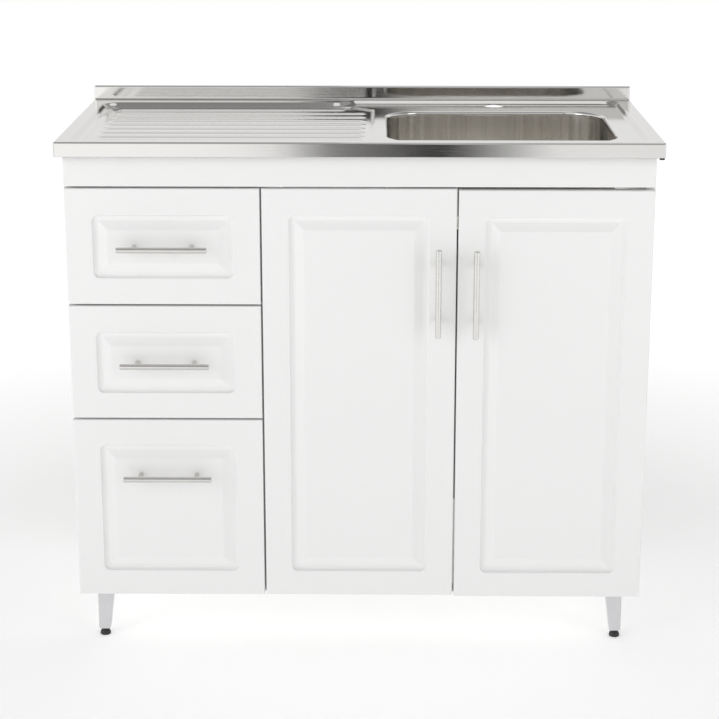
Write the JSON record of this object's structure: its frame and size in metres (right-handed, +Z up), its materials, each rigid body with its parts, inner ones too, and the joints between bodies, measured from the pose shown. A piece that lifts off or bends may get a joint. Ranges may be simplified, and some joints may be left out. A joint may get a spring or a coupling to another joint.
{
  "type": "kitchen sink unit",
  "caption": "Free-standing kitchen sink unit: steel sink top with ribbed drainer and single bowl on a white cabinet with drawers and doors.",
  "frame": {"origin": "on the floor, under the middle of the unit's whole footprint", "axes": "+X to the right seen from the front, -Y towards the user, +Z up"},
  "size_m": [1, 0.512, 0.925],
  "materials": {
    "pressed_steel": "satin",
    "handle_steel": "brushed",
    "leg_lacquer": "satin",
    "black_plastic": "matte",
    "front_foil": "satin foil",
    "roller_nylon": "matte",
    "runner_steel": "epoxy coat",
    "hinge_steel": "nickel plate",
    "white_hardboard": "white lacquered hardboard",
    "carcass_board": "white melamine on chipboard"
  },
  "bodies": {
    "root": {"sink_deck": "pressed_steel", "sink_bowl": "pressed_steel", "lip_corner_pad": "black_plastic", "left_side_panel": "carcass_board", "right_side_panel": "carcass_board", "base_panel": "carcass_board", "divider_panel": "carcass_board", "rear_rail": "carcass_board", "back_panel": "white_hardboard", "front_rail": "front_foil", "front_left_leg": "leg_lacquer", "front_left_foot": "black_plastic", "front_right_leg": "leg_lacquer", "front_right_foot": "black_plastic", "rear_left_leg": "leg_lacquer", "rear_left_foot": "black_plastic", "rear_right_leg": "leg_lacquer", "rear_right_foot": "black_plastic", "top_cabinet_runners": "runner_steel", "middle_cabinet_runners": "runner_steel", "bottom_cabinet_runners": "runner_steel", "left_door_hinge_arms": "hinge_steel", "right_door_hinge_arms": "hinge_steel"},
    "top_drawer": {"top_drawer_front": "front_foil", "top_drawer_left_side": "carcass_board", "top_drawer_right_side": "carcass_board", "top_drawer_back": "carcass_board", "top_drawer_bottom": "white_hardboard", "top_drawer_handle": "handle_steel", "top_drawer_runners": "runner_steel"},
    "top_rear_rollers": {"top_rear_rollers": "roller_nylon"},
    "top_front_rollers": {"top_front_rollers": "roller_nylon"},
    "middle_drawer": {"middle_drawer_front": "front_foil", "middle_drawer_left_side": "carcass_board", "middle_drawer_right_side": "carcass_board", "middle_drawer_back": "carcass_board", "middle_drawer_bottom": "white_hardboard", "middle_drawer_handle": "handle_steel", "middle_drawer_runners": "runner_steel"},
    "middle_rear_rollers": {"middle_rear_rollers": "roller_nylon"},
    "middle_front_rollers": {"middle_front_rollers": "roller_nylon"},
    "bottom_drawer": {"bottom_drawer_front": "front_foil", "bottom_drawer_left_side": "carcass_board", "bottom_drawer_right_side": "carcass_board", "bottom_drawer_back": "carcass_board", "bottom_drawer_bottom": "white_hardboard", "bottom_drawer_handle": "handle_steel", "bottom_drawer_runners": "runner_steel"},
    "bottom_rear_rollers": {"bottom_rear_rollers": "roller_nylon"},
    "bottom_front_rollers": {"bottom_front_rollers": "roller_nylon"},
    "left_door": {"left_door_panel": "front_foil", "left_door_handle": "handle_steel", "left_door_hinge_cups": "hinge_steel", "left_door_hinge_pins": "hinge_steel"},
    "right_door": {"right_door_panel": "front_foil", "right_door_handle": "handle_steel", "right_door_hinge_cups": "hinge_steel", "right_door_hinge_pins": "hinge_steel"}
  },
  "joints": [
    {"name": "top_drawer_slide", "type": "slide", "parent": "root", "child": "top_drawer", "axis": [0, -1, 0], "range_m": [0, 0.26]},
    {"name": "top_rear_roller_turn", "type": "hinge", "parent": "top_drawer", "child": "top_rear_rollers", "pos_m": [-0.32667, 0.18, 0.6612], "axis": [1, 0, 0], "continuous": true},
    {"name": "top_front_roller_turn", "type": "hinge", "parent": "root", "child": "top_front_rollers", "pos_m": [-0.32667, -0.192, 0.6612], "axis": [1, 0, 0], "continuous": true},
    {"name": "middle_drawer_slide", "type": "slide", "parent": "root", "child": "middle_drawer", "axis": [0, -1, 0], "range_m": [0, 0.26]},
    {"name": "middle_rear_roller_turn", "type": "hinge", "parent": "middle_drawer", "child": "middle_rear_rollers", "pos_m": [-0.32667, 0.18, 0.4612], "axis": [1, 0, 0], "continuous": true},
    {"name": "middle_front_roller_turn", "type": "hinge", "parent": "root", "child": "middle_front_rollers", "pos_m": [-0.32667, -0.192, 0.4612], "axis": [1, 0, 0], "continuous": true},
    {"name": "bottom_drawer_slide", "type": "slide", "parent": "root", "child": "bottom_drawer", "axis": [0, -1, 0], "range_m": [0, 0.26]},
    {"name": "bottom_rear_roller_turn", "type": "hinge", "parent": "bottom_drawer", "child": "bottom_rear_rollers", "pos_m": [-0.32667, 0.18, 0.1382], "axis": [1, 0, 0], "continuous": true},
    {"name": "bottom_front_roller_turn", "type": "hinge", "parent": "root", "child": "bottom_front_rollers", "pos_m": [-0.32667, -0.192, 0.1382], "axis": [1, 0, 0], "continuous": true},
    {"name": "left_door_hinge", "type": "hinge", "parent": "root", "child": "left_door", "pos_m": [-0.15553, -0.2183, 0.46], "axis": [0, 0, -1], "range_deg": [0, 90]},
    {"name": "right_door_hinge", "type": "hinge", "parent": "root", "child": "right_door", "pos_m": [0.4822, -0.2183, 0.46], "axis": [0, 0, 1], "range_deg": [0, 95]}
  ],
  "couplings": [
    {"joint": "top_rear_roller_turn", "follows": "top_drawer_slide", "rad_per_m": 125},
    {"joint": "top_front_roller_turn", "follows": "top_drawer_slide", "rad_per_m": 125},
    {"joint": "middle_rear_roller_turn", "follows": "middle_drawer_slide", "rad_per_m": 125},
    {"joint": "middle_front_roller_turn", "follows": "middle_drawer_slide", "rad_per_m": 125},
    {"joint": "bottom_rear_roller_turn", "follows": "bottom_drawer_slide", "rad_per_m": 125},
    {"joint": "bottom_front_roller_turn", "follows": "bottom_drawer_slide", "rad_per_m": 125}
  ]
}
